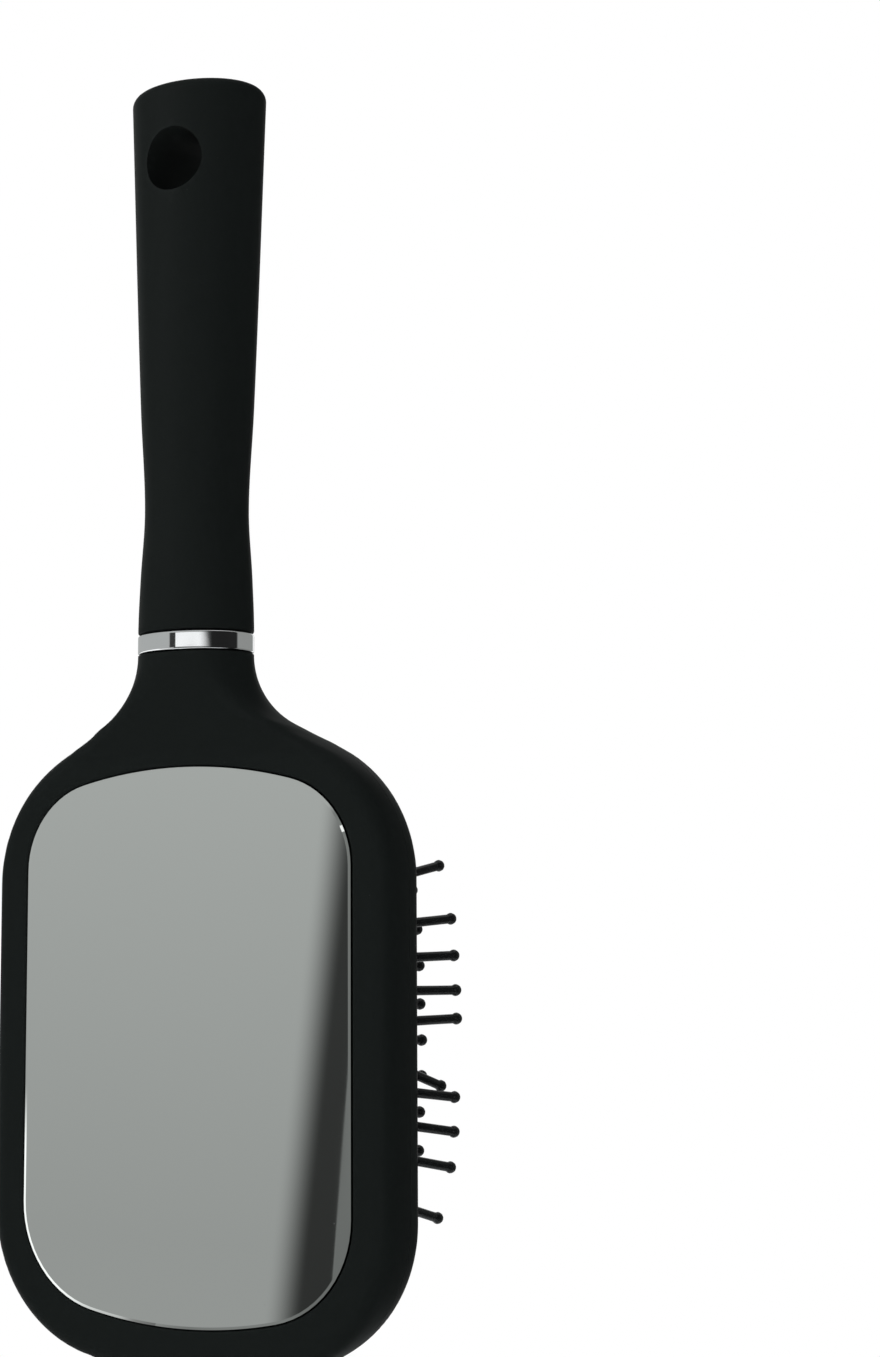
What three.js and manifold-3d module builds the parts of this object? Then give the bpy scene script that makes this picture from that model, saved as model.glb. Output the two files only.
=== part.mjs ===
// Paddle hair brush with an air cushion, ball-tipped pins and a mirror in its back.
// Millimetres. +Z points up to the handle's end, the pins point to -Y and the mirror to +Y.
// The origin is the middle of the hanging hole, so the brush hangs with its head down.
import * as THREE from 'three';
import { mergeVertices } from 'three/addons/utils/BufferGeometryUtils.js';
import Module from 'manifold-3d';

const wasm = await Module();
wasm.setup();

// Handle
const handleEndAboveHole = 16;
const hangHoleRadius = 6.3;
const handleLength = 108.4;
const handleEndWidth = 28.4;
const handleEndDepth = 21.2;
const waistWidth = 21.2;
const waistDepth = 17.4;
const waistAboveRing = 24;
const handleEndFillet = 2.4;
// Between ring and waist, and between waist and end: how far the size has changed there, as a share,
// and how high that is, in waist heights above the ring.
const kneeShare = 1 / 3;
const kneeHeight = 0.45;
const flareShare = 0.3;
const flareHeight = 1.85;
const sleeveWall = 1.8;
const holeLining = 1.6;

// Collar ring, neck and spigot
const ringWidth = 23.7;
const ringDepth = 18.7;
const ringHeight = 3.6;
const ringWall = 1.6;
const ringEdge = 0.3;
const tongueWidth = 12.6;
const tongueDepth = 8.8;
const tongueLength = 30;
const tongueTip = 2;
const socketExtraDepth = 3;
// How deep the ring's boss and the tongue stand in what carries them.
const rootOverlap = 1;
const crossPinRadius = 1.25;
const crossPinAboveRing = 16;
const neckFillet = 15.5;
const shoulderAngle = THREE.MathUtils.degToRad(61.8);
const shoulderRadius = 28;

// Head
const headWidth = 88.6;
const headLength = 136.6;
const headThickness = 13.7;
const headTowardPins = 2.9;
const headEndArc = 90;
const headBottomCorner = 28;
const edgeRounding = 2.4;
const softEdgeSpare = 0.1;
const neckFacetLength = 20;
const backFacetEnd = 1.5;
const frontFacetEnd = 2.2;
const frameTaper = 2.7;
const frameTaperDrop = 1.4;
const frameEndBelowRing = 14;
const frameThickness = 5.95;

// Cushion and pins
const cushionSideBorder = 7.3;
const cushionEndBorder = 12.1;
const cushionBelowRing = 22.5;
const cushionTopCorner = 17;
const cushionBottomCorner = 20;
const cushionEndArc = 95;
const padThickness = 2;
const crownHeight = 5.8;
const crownPower = 2.7;
const padLip = 0.8;
const flangeOverhang = 1.9;
const flangeThickness = 1.2;
const chamberDepth = 3.8;
// Pins in each row, from the side row to the middle row.
const pinsInRow = [10, 13, 14, 15, 14, 15];
const sideRowFromEdge = 4.25;
const endPinFromEdge = 4.1;
const sidePinCrowding = 0.896;
const pinLength = 18.3;
const pinRoot = 1.2;
const pinBaseRadius = 1.3;
const pinShaftRadius = 0.8;
const pinTipRadius = 1.1;
const pinFlareLength = 3;
const pinTaper = 0.94;
const pinNeckBelowTip = 2.1;
const pinTipFlat = 0.55;
const pinTipRise = 0.15;
// How far the pins lean outward at the cushion's sides, ends and corners, as slopes.
const fanAtSides = 1.1;
const fanAtEnds = 0.48;
const fanInCorners = 1;

// Mirror
const mirrorSideBorder = 8.3;
const mirrorEndBorder = 9.9;
const mirrorBelowRing = 21.8;
const mirrorTopCorner = 17;
const mirrorBottomCorner = 20;
const mirrorEndArc = 95;
const mirrorThickness = 1.6;
const mirrorBevel = 0.6;
const mirrorProud = 0.1;
const tapeThickness = 0.4;
const tapeInset = 3;

// Fits
const seatGap = 0.3;
const rowGap = 0.3;
const boreClearance = 0.3;
// How far a cutting or trimming solid runs past what it works on.
const past = 5;

// Facets of round stretches
const sectionSides = 32;
const cornerSteps = 6;
const endSteps = 4;
const holeSides = 24;
const pinSides = 4;
const handleSteps = 11;

// Heights and depths that follow from the sizes above
const handleBase = handleEndAboveHole - handleLength;
const ringTop = handleBase - seatGap;
const neckTop = ringTop - ringHeight - seatGap;
const headEnd = neckTop - headLength;
const frontFace = -headTowardPins - headThickness / 2;
const backFace = frontFace + headThickness;
const splitPlane = frontFace + frameThickness + seatGap / 2;
const frameEnd = neckTop - frameEndBelowRing;
const cushionWidth = headWidth - 2 * cushionSideBorder;
const cushionLength = headLength - cushionBelowRing - cushionEndBorder;
const cushionTop = neckTop - cushionBelowRing;
const cushionMiddle = cushionTop - cushionLength / 2;
const mirrorWidth = headWidth - 2 * mirrorSideBorder;
const mirrorLength = headLength - mirrorBelowRing - mirrorEndBorder;
const mirrorTop = neckTop - mirrorBelowRing;
const mirrorMiddle = mirrorTop - mirrorLength / 2;
const facetFoot = neckTop - neckFacetLength;
const rowCount = 2 * pinsInRow.length - 1;
const rowPitch = (cushionWidth - 2 * sideRowFromEdge) / (rowCount - 1);
const pinPitch = (cushionLength - 2 * endPinFromEdge) / (Math.max(...pinsInRow) - 1);
const crossPinHeight = handleBase + crossPinAboveRing;

const softTouchBlack = { color: 0x1a1c1b, roughness: 0.62, metalness: 0 };
const rubberBlack = { color: 0x161817, roughness: 0.7, metalness: 0 };
const pinBlack = { color: 0x101211, roughness: 0.35, metalness: 0 };
const chrome = { color: 0xc9cbcd, roughness: 0.08, metalness: 1 };
const steel = { color: 0x9a9c9e, roughness: 0.35, metalness: 1 };
const mirrorSilver = { color: 0xd4dad7, roughness: 0.03, metalness: 1 };
const paleTape = { color: 0xb9b6ac, roughness: 0.8, metalness: 0 };
const stiffPlastic = { color: 0x2a2c2d, roughness: 0.5, metalness: 0 };

// A closed three.js geometry as a solid that can be joined and cut.
function solidOf(geometry) {
  const bare = geometry.clone();
  bare.deleteAttribute('normal');
  bare.deleteAttribute('uv');
  const merged = mergeVertices(bare, 1e-4);
  const index = merged.index.array;
  const kept = [];
  for (let i = 0; i < index.length; i += 3) {
    const [a, b, c] = [index[i], index[i + 1], index[i + 2]];
    if (a !== b && b !== c && c !== a) kept.push(a, b, c);
  }
  return new wasm.Manifold(new wasm.Mesh({
    numProp: 3,
    vertProperties: new Float32Array(merged.attributes.position.array),
    triVerts: new Uint32Array(kept),
  }));
}

// A solid as a named mesh with its own material.
function meshOf(name, solid, look) {
  const { vertProperties, triVerts } = solid.getMesh();
  const geometry = new THREE.BufferGeometry();
  geometry.setAttribute('position', new THREE.BufferAttribute(new Float32Array(vertProperties), 3));
  geometry.setIndex(new THREE.BufferAttribute(new Uint32Array(triVerts), 1));
  geometry.computeVertexNormals();
  const mesh = new THREE.Mesh(geometry, new THREE.MeshStandardMaterial(look));
  mesh.name = name;
  return mesh;
}

// A skin over rings of points with the same count, closed by a flat fan at each end.
function loft(rings) {
  const count = rings[0].length;
  const middles = [rings[0], rings.at(-1)].map((ring) => ring
    .reduce((sum, point) => sum.add(point), new THREE.Vector3())
    .divideScalar(count));
  const positions = [...rings.flat(), ...middles].flatMap((point) => point.toArray());
  const first = rings.length * count;
  const index = [];
  for (let j = 0; j < count; j += 1) {
    const next = (j + 1) % count;
    for (let i = 0; i + 1 < rings.length; i += 1) {
      const low = i * count;
      const high = low + count;
      index.push(low + j, low + next, high + next, low + j, high + next, high + j);
    }
    const last = (rings.length - 1) * count;
    index.push(first, next, j, first + 1, last + j, last + next);
  }
  const geometry = new THREE.BufferGeometry();
  geometry.setAttribute('position', new THREE.Float32BufferAttribute(positions, 3));
  geometry.setIndex(index);
  const solid = solidOf(geometry);
  if (solid.volume() > 0) return solid;
  return loft(rings.map((ring) => [...ring].reverse()));
}

function arc(centreX, centreZ, radius, from, to, steps) {
  return Array.from({ length: steps + 1 }, (_, i) => {
    const angle = THREE.MathUtils.lerp(from, to, i / steps);
    return new THREE.Vector2(centreX + radius * Math.cos(angle), centreZ + radius * Math.sin(angle));
  });
}

// A half outline from the middle of the lower end to that of the upper end, mirrored to a closed one.
function mirrored(rightHalf) {
  const left = rightHalf
    .filter((point) => point.x > 1e-6)
    .reverse()
    .map((point) => new THREE.Vector2(-point.x, point.y));
  return [...rightHalf, ...left];
}

// One end of a paddle: a wide arc across it, and a tighter corner that runs on to the straight side.
function paddleEnd(half, reach, corner, endArc) {
  const arcCentre = reach - endArc;
  const cornerX = half - corner;
  const cornerZ = arcCentre + Math.sqrt((endArc - corner) ** 2 - cornerX ** 2);
  const turn = Math.atan2(cornerZ - arcCentre, cornerX);
  return [
    ...arc(cornerX, cornerZ, corner, 0, turn, cornerSteps),
    ...arc(0, arcCentre, endArc, turn, Math.PI / 2, endSteps).slice(1),
  ];
}

// A paddle outline about its own middle, grown or shrunk all round by an offset.
function paddle(width, length, topCorner, bottomCorner, endArc, offset = 0) {
  const half = width / 2 + offset;
  const reach = length / 2 + offset;
  const top = paddleEnd(half, reach, topCorner + offset, endArc + offset);
  const bottom = paddleEnd(half, reach, bottomCorner + offset, endArc + offset)
    .reverse()
    .map((point) => new THREE.Vector2(point.x, -point.y));
  return mirrored([...bottom, ...top]);
}

const cushionOutline = (offset) => paddle(
  cushionWidth, cushionLength, cushionTopCorner, cushionBottomCorner, cushionEndArc, offset,
);
const mirrorOutline = (offset) => paddle(
  mirrorWidth, mirrorLength, mirrorTopCorner, mirrorBottomCorner, mirrorEndArc, offset,
);

// An outline in X and Z made into a plate between two depths, with rounded edges where asked.
function plate(outline, low, high, rounding = 0, outward = 0) {
  const geometry = new THREE.ExtrudeGeometry(new THREE.Shape(outline), {
    depth: high - low - 2 * rounding,
    bevelEnabled: rounding > 0,
    bevelThickness: rounding,
    bevelSize: rounding,
    bevelOffset: outward - rounding,
    bevelSegments: 3,
  });
  geometry.rotateX(Math.PI / 2);
  geometry.translate(0, high - rounding, 0);
  return solidOf(geometry);
}

function ellipseRing(width, depth, z) {
  return Array.from({ length: sectionSides }, (_, i) => {
    const angle = (i / sectionSides) * 2 * Math.PI;
    return new THREE.Vector3((width / 2) * Math.cos(angle), (depth / 2) * Math.sin(angle), z);
  });
}

function block(sizeX, sizeY, sizeZ, x, y, z) {
  const geometry = new THREE.BoxGeometry(sizeX, sizeY, sizeZ);
  geometry.translate(x, y, z);
  return solidOf(geometry);
}

// A round bar along Y, for the hanging hole and the cross pin.
function barAlongY(radius, length, z) {
  const geometry = new THREE.CylinderGeometry(radius, radius, length, holeSides);
  geometry.translate(0, 0, z);
  return solidOf(geometry);
}

// The right half of the head's outline, in three stretches that follow each other from its lower end.
const headHalf = headWidth / 2;
const neckHalf = ringWidth / 2;
const shoulderSide = 1 - Math.cos(shoulderAngle);
const slopeRun = headHalf - neckHalf - (shoulderRadius + neckFillet) * shoulderSide;
const shoulderCentre = neckTop - (neckFillet + shoulderRadius) * Math.sin(shoulderAngle)
  - slopeRun / Math.tan(shoulderAngle);
const headEndCurve = paddleEnd(headHalf, -headEnd, headBottomCorner, headEndArc)
  .reverse()
  .map((point) => new THREE.Vector2(point.x, -point.y));
const shoulderCurve = arc(headHalf - shoulderRadius, shoulderCentre, shoulderRadius,
  0, shoulderAngle, cornerSteps);
const neckCurve = arc(neckHalf + neckFillet, neckTop, neckFillet,
  Math.PI + shoulderAngle, Math.PI, cornerSteps);

// The closed outer form of head and neck: round at the ring, flat in front and behind, soft at its edges.
function headForm() {
  const rings = [new THREE.Vector2(headHalf, headEnd - past), ...shoulderCurve, ...neckCurve]
    .map((point) => {
      const widened = (point.x - neckHalf) / (headHalf - neckHalf);
      return ellipseRing(2 * point.x, (2 * point.x * ringDepth) / ringWidth, point.y)
        .map((corner) => corner.setY(corner.y - widened * headTowardPins));
    });
  const tapered = loft(rings);

  const neckReach = ringDepth / 2 + past;
  const profile = new THREE.Shape();
  profile.moveTo(-neckReach, neckTop + past);
  profile.lineTo(-ringDepth / 2, neckTop - frontFacetEnd);
  profile.lineTo(frontFace + frameTaperDrop, frameEnd);
  profile.lineTo(frontFace, frameEnd - frameTaper);
  profile.lineTo(frontFace, headEnd - past);
  profile.lineTo(backFace, headEnd - past);
  profile.lineTo(backFace, facetFoot);
  profile.lineTo(ringDepth / 2, neckTop - backFacetEnd);
  profile.lineTo(neckReach, neckTop + past);
  const sideView = new THREE.ExtrudeGeometry(profile, {
    depth: headWidth + 2 * past,
    bevelEnabled: false,
  });
  sideView.translate(0, 0, -headHalf - past);
  sideView.applyMatrix4(new THREE.Matrix4().makeBasis(
    new THREE.Vector3(0, 1, 0),
    new THREE.Vector3(0, 0, 1),
    new THREE.Vector3(1, 0, 0),
  ));

  // The soft edges follow the flat back of the head, and on the neck a copy leaned over to its facet.
  const outline = mirrored([...headEndCurve, ...shoulderCurve, ...neckCurve,
    new THREE.Vector2(neckHalf, neckTop + neckFillet)]);
  const soft = plate(outline, frontFace, backFace, edgeRounding, softEdgeSpare);
  const facetLean = (ringDepth / 2 - backFace) / (facetFoot - (neckTop - backFacetEnd));
  const lean = new THREE.Matrix4().makeShear(0, 0, 0, 0, 0, -facetLean);
  const leaned = soft
    .translate([0, 0, -facetFoot])
    .transform(lean.elements)
    .translate([0, 0, facetFoot]);
  const aboveFoot = block(headWidth, headWidth, 2 * neckFacetLength,
    0, 0, facetFoot + neckFacetLength);
  return tapered.intersect(solidOf(sideView)).intersect(soft.add(leaned.intersect(aboveFoot)));
}

// The front frame's room: everything in front of the split plane and below the seam on the neck.
function frontRoom(gap) {
  const height = frameEnd - gap - (headEnd - past);
  const depth = splitPlane - gap - (frontFace - past);
  return block(headWidth + 2 * past, depth, height,
    0, frontFace - past + depth / 2, headEnd - past + height / 2);
}

function headFrontFrame(form) {
  const rebateFloor = splitPlane - seatGap / 2 - flangeThickness - seatGap;
  const opening = plate(cushionOutline(0), frontFace - past, splitPlane + past)
    .translate([0, 0, cushionMiddle]);
  const rebate = plate(cushionOutline(flangeOverhang + seatGap), rebateFloor, splitPlane + past)
    .translate([0, 0, cushionMiddle]);
  return form.intersect(frontRoom(seatGap / 2)).subtract(opening).subtract(rebate);
}

// What stands up from the neck: a boss that centres the collar ring, and a tongue that enters the handle.
function ringBoss(grow) {
  const [width, depth] = [ringWidth, ringDepth].map((size) => size - 2 * ringWall + 2 * grow);
  return loft([
    ellipseRing(width, depth, neckTop - rootOverlap),
    ellipseRing(width, depth, ringTop + grow),
  ]);
}

function tongue(grow) {
  const [width, depth] = [tongueWidth, tongueDepth].map((size) => size + 2 * grow);
  const tip = handleBase + tongueLength + grow;
  return loft([
    ellipseRing(width, depth, ringTop - rootOverlap),
    ellipseRing(width, depth, tip - tongueTip),
    ellipseRing(width - tongueTip, depth - tongueTip, tip),
  ]);
}

function headBackShell(form) {
  const chamberFloor = splitPlane + chamberDepth;
  const chamber = plate(cushionOutline(-padLip - seatGap), splitPlane - past, chamberFloor)
    .translate([0, 0, cushionMiddle]);
  const recessFloor = backFace + mirrorProud - mirrorThickness - tapeThickness - 2 * seatGap;
  const recess = plate(mirrorOutline(seatGap), recessFloor, backFace + past)
    .translate([0, 0, mirrorMiddle]);
  return form
    .subtract(frontRoom(-seatGap / 2))
    .subtract(chamber)
    .subtract(recess)
    .add(ringBoss(0))
    .add(tongue(0))
    .subtract(barAlongY(crossPinRadius + boreClearance, 3 * ringDepth, crossPinHeight));
}

// The rubber pad's fixed rim: a flange held under the frame, and a lip that stands up in the opening.
function cushionRim() {
  const flangeTop = splitPlane - seatGap / 2 - flangeThickness;
  const flange = plate(cushionOutline(flangeOverhang), flangeTop, splitPlane - seatGap / 2);
  const lip = plate(cushionOutline(-seatGap), frontFace + seatGap, splitPlane - seatGap / 2);
  const inside = plate(cushionOutline(-seatGap - padLip), frontFace - past, splitPlane + past);
  return flange.add(lip).subtract(inside);
}

// How far out a point of the cushion lies: 0 at its middle and 1 on its outline.
function reachOf(outline, x, z) {
  return Math.max(...outline.map((start, i) => {
    const end = outline[(i + 1) % outline.length];
    const [nx, nz] = [end.y - start.y, start.x - end.x];
    return (nx * x + nz * z) / (nx * start.x + nz * start.y);
  }));
}

const crownOutline = cushionOutline(-2 * seatGap - padLip);
const crownAt = (reach) => crownHeight * (1 - reach ** crownPower);

// The crowned rubber pad, as one shell about the middle of the opening, edge at the frame's face.
function crown() {
  const ringAt = (reach, inward) => crownOutline.map((point) => new THREE.Vector3(
    point.x * reach, inward - crownAt(reach), point.y * reach,
  ));
  const inner = [0.5, 1].map((reach) => ringAt(reach, padThickness));
  const outer = [1, 0.87, 0.66, 0.35].map((reach) => ringAt(reach, 0));
  return loft([...inner, ...outer]);
}

// One ball-tipped pin along +Y, from its root in the pad: a flared foot, a shaft and a round tip.
function pinSolid() {
  const length = pinLength + pinRoot;
  const profile = [
    new THREE.Vector2(0, 0),
    new THREE.Vector2(pinBaseRadius, 0),
    new THREE.Vector2(pinShaftRadius, pinRoot + pinFlareLength),
    new THREE.Vector2(pinShaftRadius * pinTaper, length - pinNeckBelowTip),
    new THREE.Vector2(pinTipRadius, length - pinTipRadius),
    new THREE.Vector2(pinTipRadius * pinTipFlat, length - pinTipRise),
    new THREE.Vector2(0, length),
  ];
  return solidOf(new THREE.LatheGeometry(profile, pinSides));
}

// Where a row's pins stand: evenly about the middle, and a little closer in the two side rows.
function pinPlaces(row) {
  const fromSide = Math.min(row, rowCount - 1 - row);
  const x = (row - (rowCount - 1) / 2) * rowPitch;
  const pitch = fromSide === 0 ? pinPitch * sidePinCrowding : pinPitch;
  const count = pinsInRow[fromSide];
  return Array.from({ length: count }, (_, i) => ({ x, z: (i - (count - 1) / 2) * pitch }));
}

// The way a pin points. The pins fan out from the crown, most of all at its sides and ends.
function pinDirection({ x, z }) {
  const across = x / (cushionWidth / 2);
  const along = z / (cushionLength / 2);
  const lean = fanAtEnds * along ** 3 + fanInCorners * across ** 6 * along;
  return new THREE.Vector3(fanAtSides * across ** 3, -1, lean).normalize();
}

// A row of pins, moulded on the strip of pad that carries it.
function pinRow(row, pad, pin) {
  const x = (row - (rowCount - 1) / 2) * rowPitch;
  const outermost = row === 0 || row === rowCount - 1;
  const width = rowPitch - rowGap;
  const strip = block(outermost ? width + rowPitch : width, 2 * headThickness, 2 * cushionLength,
    outermost ? x + (Math.sign(x) * rowPitch) / 2 : x, 0, 0);
  let solid = pad.intersect(strip);
  for (const place of pinPlaces(row)) {
    const height = crownAt(reachOf(crownOutline, place.x, place.z));
    const direction = pinDirection(place);
    const turn = new THREE.Quaternion().setFromUnitVectors(new THREE.Vector3(0, 1, 0), direction);
    const foot = new THREE.Vector3(place.x, -height, place.z).addScaledVector(direction, -pinRoot);
    const placed = new THREE.Matrix4().compose(foot, turn, new THREE.Vector3(1, 1, 1));
    solid = solid.add(pin.transform(placed.elements));
  }
  return solid;
}

// The mirror: a flat glass whose front edge is bevelled all round.
function mirrorGlass() {
  const ringAt = (offset, y) => mirrorOutline(offset).map((point) => new THREE.Vector3(point.x, y, point.y));
  return loft([
    ringAt(0, -mirrorThickness),
    ringAt(0, -mirrorBevel),
    ringAt(-mirrorBevel, 0),
  ]);
}

function collarRing() {
  const outer = loft([
    ellipseRing(ringWidth - ringEdge, ringDepth - ringEdge, ringTop - ringHeight),
    ellipseRing(ringWidth, ringDepth, ringTop - ringHeight + ringEdge),
    ellipseRing(ringWidth, ringDepth, ringTop - ringEdge),
    ellipseRing(ringWidth - ringEdge, ringDepth - ringEdge, ringTop),
  ]);
  return outer.subtract(ringBoss(boreClearance));
}

// The handle's width and depth along its length: flush with the ring, drawn in at the waist, wide at the end.
const handleCurve = new THREE.CatmullRomCurve3([
  new THREE.Vector3(ringWidth, ringDepth, handleBase),
  new THREE.Vector3(
    THREE.MathUtils.lerp(ringWidth, waistWidth, kneeShare),
    THREE.MathUtils.lerp(ringDepth, waistDepth, kneeShare),
    handleBase + waistAboveRing * kneeHeight,
  ),
  new THREE.Vector3(waistWidth, waistDepth, handleBase + waistAboveRing),
  new THREE.Vector3(
    THREE.MathUtils.lerp(waistWidth, handleEndWidth, flareShare),
    THREE.MathUtils.lerp(waistDepth, handleEndDepth, flareShare),
    handleBase + waistAboveRing * flareHeight,
  ),
  new THREE.Vector3(handleEndWidth, handleEndDepth, handleEndAboveHole),
], false, 'centripetal');

// The handle's outer form, shrunk by a wall all round. Its lower end is open towards the ring.
function handleForm(inset, lowEnd) {
  const rings = [];
  const top = handleEndAboveHole - inset;
  const roundAt = top - handleEndFillet;
  for (let i = 0; i <= handleSteps; i += 1) {
    const at = handleCurve.getPoint(i / handleSteps);
    const [width, depth] = [at.x - 2 * inset, at.y - 2 * inset];
    if (i === 0) rings.push(ellipseRing(width, depth, lowEnd));
    else if (at.z < roundAt - handleEndFillet) rings.push(ellipseRing(width, depth, at.z));
  }
  for (const angle of [0, Math.PI / 6, Math.PI / 3, Math.PI / 2]) {
    const drawnIn = 2 * (inset + handleEndFillet * (1 - Math.cos(angle)));
    rings.push(ellipseRing(handleEndWidth - drawnIn, handleEndDepth - drawnIn,
      roundAt + handleEndFillet * Math.sin(angle)));
  }
  return loft(rings);
}

function gripSleeve() {
  const outer = handleForm(0, handleBase);
  const cavity = handleForm(sleeveWall, handleBase - seatGap);
  const lining = barAlongY(hangHoleRadius + holeLining, 2 * handleEndDepth, 0).intersect(outer);
  return outer
    .subtract(cavity)
    .add(lining)
    .subtract(barAlongY(hangHoleRadius, 2 * handleEndDepth, 0));
}

function handleCore() {
  const socket = tongue(boreClearance);
  return handleForm(sleeveWall + seatGap, handleBase)
    .subtract(socket.add(socket.translate([0, 0, socketExtraDepth])))
    .subtract(barAlongY(hangHoleRadius + holeLining + seatGap, 2 * handleEndDepth, 0))
    .subtract(barAlongY(crossPinRadius + boreClearance, 2 * handleEndDepth, crossPinHeight));
}

function crossPin() {
  const core = handleForm(sleeveWall + 2 * seatGap, handleBase);
  return barAlongY(crossPinRadius, 2 * handleEndDepth, crossPinHeight).intersect(core);
}

const brush = new THREE.Group();

const form = headForm();
brush.add(meshOf('head_back_shell', headBackShell(form), softTouchBlack));
brush.add(meshOf('head_front_frame', headFrontFrame(form), softTouchBlack));

const cushion = new THREE.Group();
cushion.position.set(0, 0, cushionMiddle);
cushion.add(meshOf('cushion_rim', cushionRim(), rubberBlack));
const crownGroup = new THREE.Group();
crownGroup.position.set(0, frontFace + seatGap, 0);
const pad = crown();
const pin = pinSolid();
for (let row = 0; row < rowCount; row += 1) {
  const number = String(row + 1).padStart(2, '0');
  crownGroup.add(meshOf(`pin_row_${number}`, pinRow(row, pad, pin), pinBlack));
}
cushion.add(crownGroup);
brush.add(cushion);

const mirror = new THREE.Group();
mirror.position.set(0, backFace + mirrorProud, mirrorMiddle);
mirror.add(meshOf('mirror_glass', mirrorGlass(), mirrorSilver));
const tapeFace = -mirrorThickness - seatGap;
const tape = plate(mirrorOutline(-tapeInset), tapeFace - tapeThickness, tapeFace);
mirror.add(meshOf('mirror_tape', tape, paleTape));
brush.add(mirror);

brush.add(meshOf('collar_ring', collarRing(), chrome));
brush.add(meshOf('handle_core', handleCore(), stiffPlastic));
brush.add(meshOf('grip_sleeve', gripSleeve(), softTouchBlack));
brush.add(meshOf('cross_pin', crossPin(), steel));

export default brush;
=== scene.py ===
# %% [markdown]
# # A paddle brush with a mirror in its back
#
# This brush has a soft-touch plastic head and grip, a bright ring between them, a mirror on one side
# and an air cushion full of ball-tipped pins on the other. The plain solids of every part are already
# made. This script dresses them: it builds the smooth outer pieces over them, gives every piece a
# finish, and lights the whole like a catalogue picture. One unit is a metre, and the brush hangs with
# its head down, with the middle of its hanging hole at the origin.

import math

import bmesh
import bpy
import numpy as np
from mathutils import Matrix, Vector


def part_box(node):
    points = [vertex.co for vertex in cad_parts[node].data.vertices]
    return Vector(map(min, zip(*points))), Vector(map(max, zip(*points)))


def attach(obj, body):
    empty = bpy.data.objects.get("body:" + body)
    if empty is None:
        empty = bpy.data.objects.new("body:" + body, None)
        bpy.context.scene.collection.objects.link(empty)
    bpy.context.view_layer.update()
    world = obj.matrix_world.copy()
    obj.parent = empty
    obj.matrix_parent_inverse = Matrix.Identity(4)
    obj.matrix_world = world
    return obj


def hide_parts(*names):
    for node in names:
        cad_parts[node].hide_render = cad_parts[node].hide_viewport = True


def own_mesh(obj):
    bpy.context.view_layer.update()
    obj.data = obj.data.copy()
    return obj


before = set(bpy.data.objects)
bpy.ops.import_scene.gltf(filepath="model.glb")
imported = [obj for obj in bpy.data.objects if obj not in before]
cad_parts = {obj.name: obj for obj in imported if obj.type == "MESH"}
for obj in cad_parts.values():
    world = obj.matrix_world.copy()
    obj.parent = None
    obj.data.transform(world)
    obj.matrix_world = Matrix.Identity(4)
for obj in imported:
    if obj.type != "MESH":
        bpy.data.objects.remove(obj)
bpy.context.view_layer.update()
print("parts loaded:", len(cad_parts))

# %% [markdown]
# A dressed piece has to sit exactly on its solid, so the main sizes are read from the solids' boxes and
# not typed again. All is worked out in millimetres, and turned into metres when a mesh is made. The
# solids keep a small gap between them: the two shells of the head meet in the middle of theirs.

# %% Read the main sizes
MM = 0.001
SOLID_GAP = 0.3
GLASS_PROUD = 0.1


def box_mm(name):
    low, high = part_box(name)
    return np.array(low) / MM, np.array(high) / MM


shell_low, shell_high = box_mm("head_back_shell")
frame_low, frame_high = box_mm("head_front_frame")
ring_low, ring_high = box_mm("collar_ring")
grip_low, grip_high = box_mm("grip_sleeve")
glass_low, glass_high = box_mm("mirror_glass")
rim_low, rim_high = box_mm("cushion_rim")

HEAD_HALF = shell_high[0]
HEAD_END = shell_low[2]
FRONT_FACE = frame_low[1]
BACK_FACE = glass_high[1] - GLASS_PROUD
SEAM_DEPTH = frame_high[1] + SOLID_GAP / 2
SEAM_HEIGHT = frame_high[2] + SOLID_GAP / 2
NECK_TOP = ring_low[2] - SOLID_GAP
NECK_HALF = ring_high[0]
NECK_DEPTH = ring_high[1]
MID_DEPTH = (FRONT_FACE + BACK_FACE) / 2
print("head:", round(2 * HEAD_HALF, 1), "mm wide and", round(BACK_FACE - FRONT_FACE, 1), "mm thick")

# %% [markdown]
# ## Outlines
# The head, the mirror and the cushion are all the same kind of shape: a paddle with straight sides,
# round corners and gently curved ends. A few arcs set it out: the corner arc touches the side, and the
# wide end arc touches the corner, so no kink shows.

# %% Paddle outlines made of arcs
ARC_STEPS = 14
SIDE_POINTS = 9
TOP_CORNER, BOTTOM_CORNER = 17, 20
END_ARC = 95


def arc(centre, radius, start, stop, steps):
    turn = np.linspace(start, stop, steps + 1)
    return np.column_stack([centre[0] + radius * np.cos(turn), centre[1] + radius * np.sin(turn)])


def paddle_end(half, reach, corner, end_arc):
    across = half - corner
    up = reach - end_arc + math.sqrt((end_arc - corner) ** 2 - across ** 2)
    turn = math.atan2(up - reach + end_arc, across)
    wide_arc = arc((0, reach - end_arc), end_arc, turn, math.pi / 2, ARC_STEPS)
    return np.vstack([arc((across, up), corner, 0, turn, ARC_STEPS), wide_arc[1:]])


def paddle(width, length, offset):
    half, reach = width / 2 + offset, length / 2 + offset
    top = paddle_end(half, reach, TOP_CORNER + offset, END_ARC + offset)
    bottom = paddle_end(half, reach, BOTTOM_CORNER + offset, END_ARC + offset)[::-1] * (1, -1)
    heights = np.linspace(bottom[-1][1], top[0][1], SIDE_POINTS + 2)[1:-1]
    right = np.vstack([bottom, np.column_stack([np.full(SIDE_POINTS, half), heights]), top])
    return np.vstack([right, right[1:-1][::-1] * (-1, 1)])


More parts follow.
